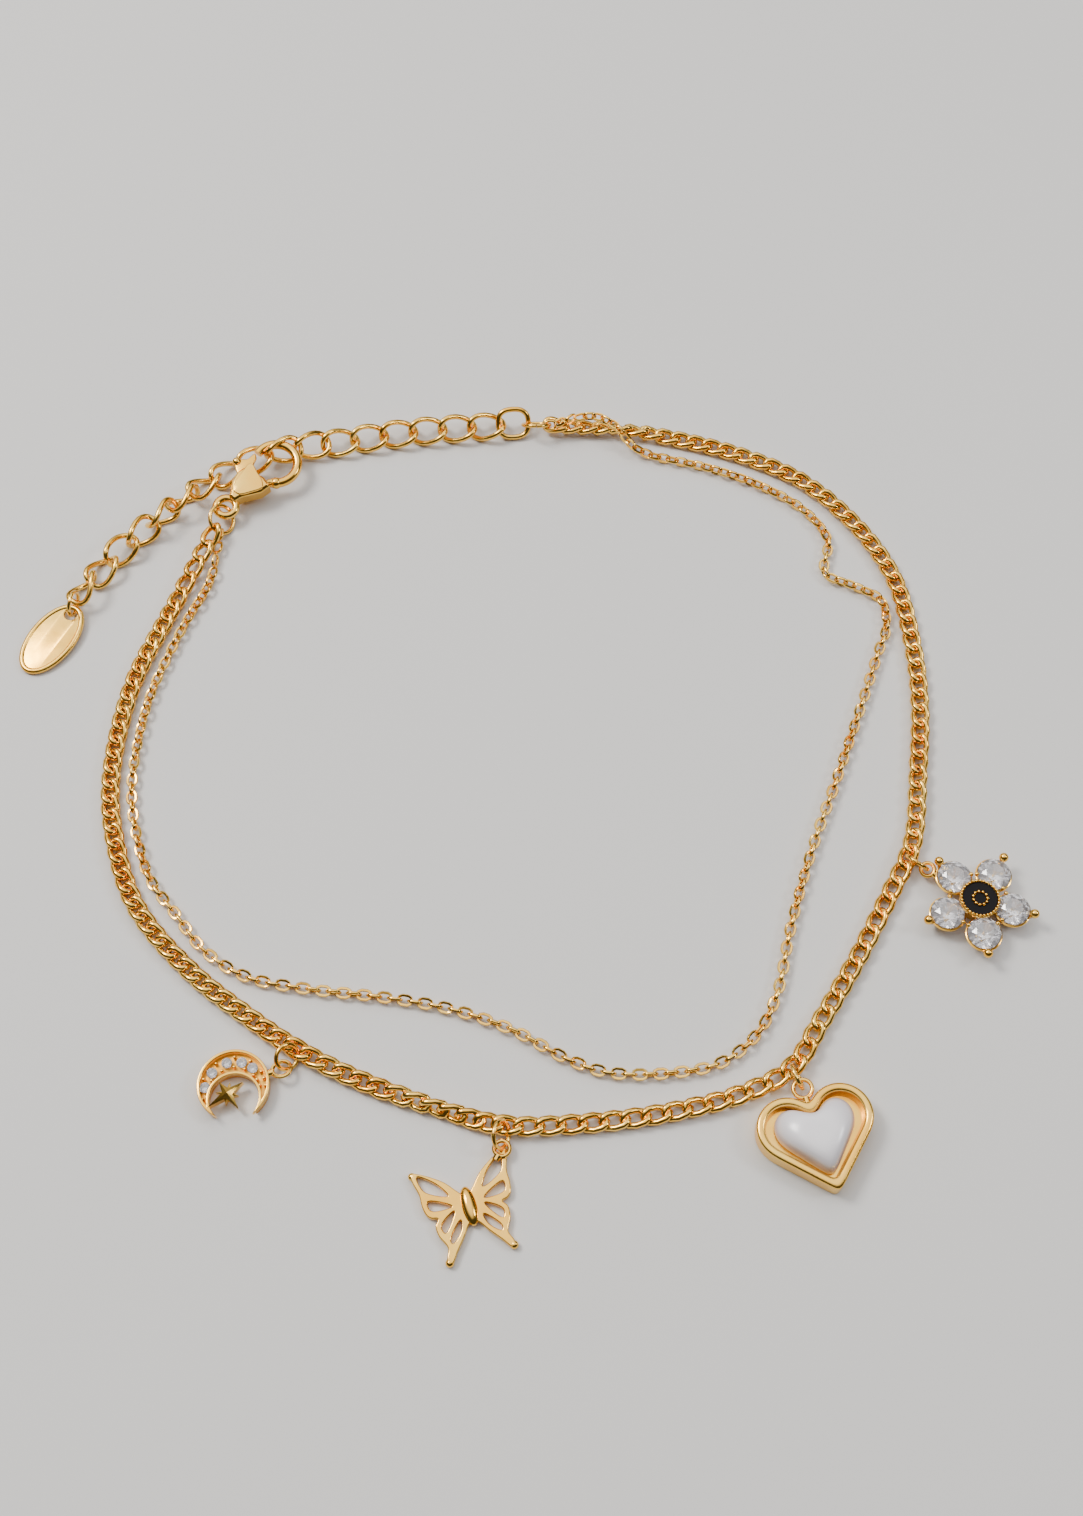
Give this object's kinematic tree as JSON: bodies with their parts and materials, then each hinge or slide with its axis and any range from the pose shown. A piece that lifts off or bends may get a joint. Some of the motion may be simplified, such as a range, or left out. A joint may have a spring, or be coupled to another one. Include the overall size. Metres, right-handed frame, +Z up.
{
  "type": "charm anklet",
  "caption": "Gold-coloured anklet with a curb chain and a finer chain, an extender chain, a lobster clasp, and moon, butterfly, heart and flower charms.",
  "frame": {"origin": "middle of the laid-out anklet's bounding box, on the surface it lies on", "axes": "+Z up from the surface, +X across the widest extent of the laid-out loop, from the tag side to the flower side, +Y away from the heart and butterfly charms"},
  "size_m": [0.1, 0.091, 0.0034],
  "materials": {
    "gold": "polished",
    "pearl": "polished pearl",
    "clear_stone": "faceted",
    "black_enamel": "gloss enamel"
  },
  "bodies": {
    "anklet": {"butterfly": "gold", "butterfly_jump_ring": "gold", "clasp_body": "gold", "clasp_pin": "gold", "curb_end_link_left": "gold", "curb_end_link_right": "gold", "curb_link_butterfly": "gold", "curb_link_flower": "gold", "curb_link_heart": "gold", "curb_link_moon": "gold", "curb_run_1": "gold", "curb_run_2": "gold", "curb_run_3": "gold", "curb_run_4": "gold", "curb_run_5": "gold", "extender_link_01": "gold", "extender_link_02": "gold", "extender_link_03": "gold", "extender_link_04": "gold", "extender_link_05": "gold", "extender_link_06": "gold", "extender_link_07": "gold", "extender_link_08": "gold", "extender_link_09": "gold", "extender_link_10": "gold", "extender_link_11": "gold", "extender_link_12": "gold", "extender_link_13": "gold", "extender_link_14": "gold", "extender_link_15": "gold", "extender_link_16": "gold", "extender_link_17": "gold", "extender_link_round": "gold", "fine_end_link_left": "gold", "fine_end_link_right": "gold", "fine_run": "gold", "flower_enamel": "black_enamel", "flower_jump_ring": "gold", "flower_setting": "gold", "flower_stone_1": "clear_stone", "flower_stone_2": "clear_stone", "flower_stone_3": "clear_stone", "flower_stone_4": "clear_stone", "flower_stone_5": "clear_stone", "heart_jump_ring": "gold", "heart_pearl": "pearl", "heart_setting": "gold", "jump_ring_left": "gold", "jump_ring_right": "gold", "moon_jump_ring": "gold", "moon_setting": "gold", "moon_stone_1": "clear_stone", "moon_stone_2": "clear_stone", "moon_stone_3": "clear_stone", "moon_stone_4": "clear_stone", "moon_stone_5": "clear_stone", "tag": "gold", "tag_ring": "gold"},
    "lever": {"clasp_lever": "gold"}
  },
  "joints": [
    {"name": "lever_pivot", "type": "hinge", "parent": "anklet", "child": "lever", "pos_m": [-0.02802, 0.03613, 0.0019], "axis": [-0.0305, 0.1359, -0.9902], "range_deg": [0, 20], "stiffness_Nm_per_rad": 0.002}
  ]
}
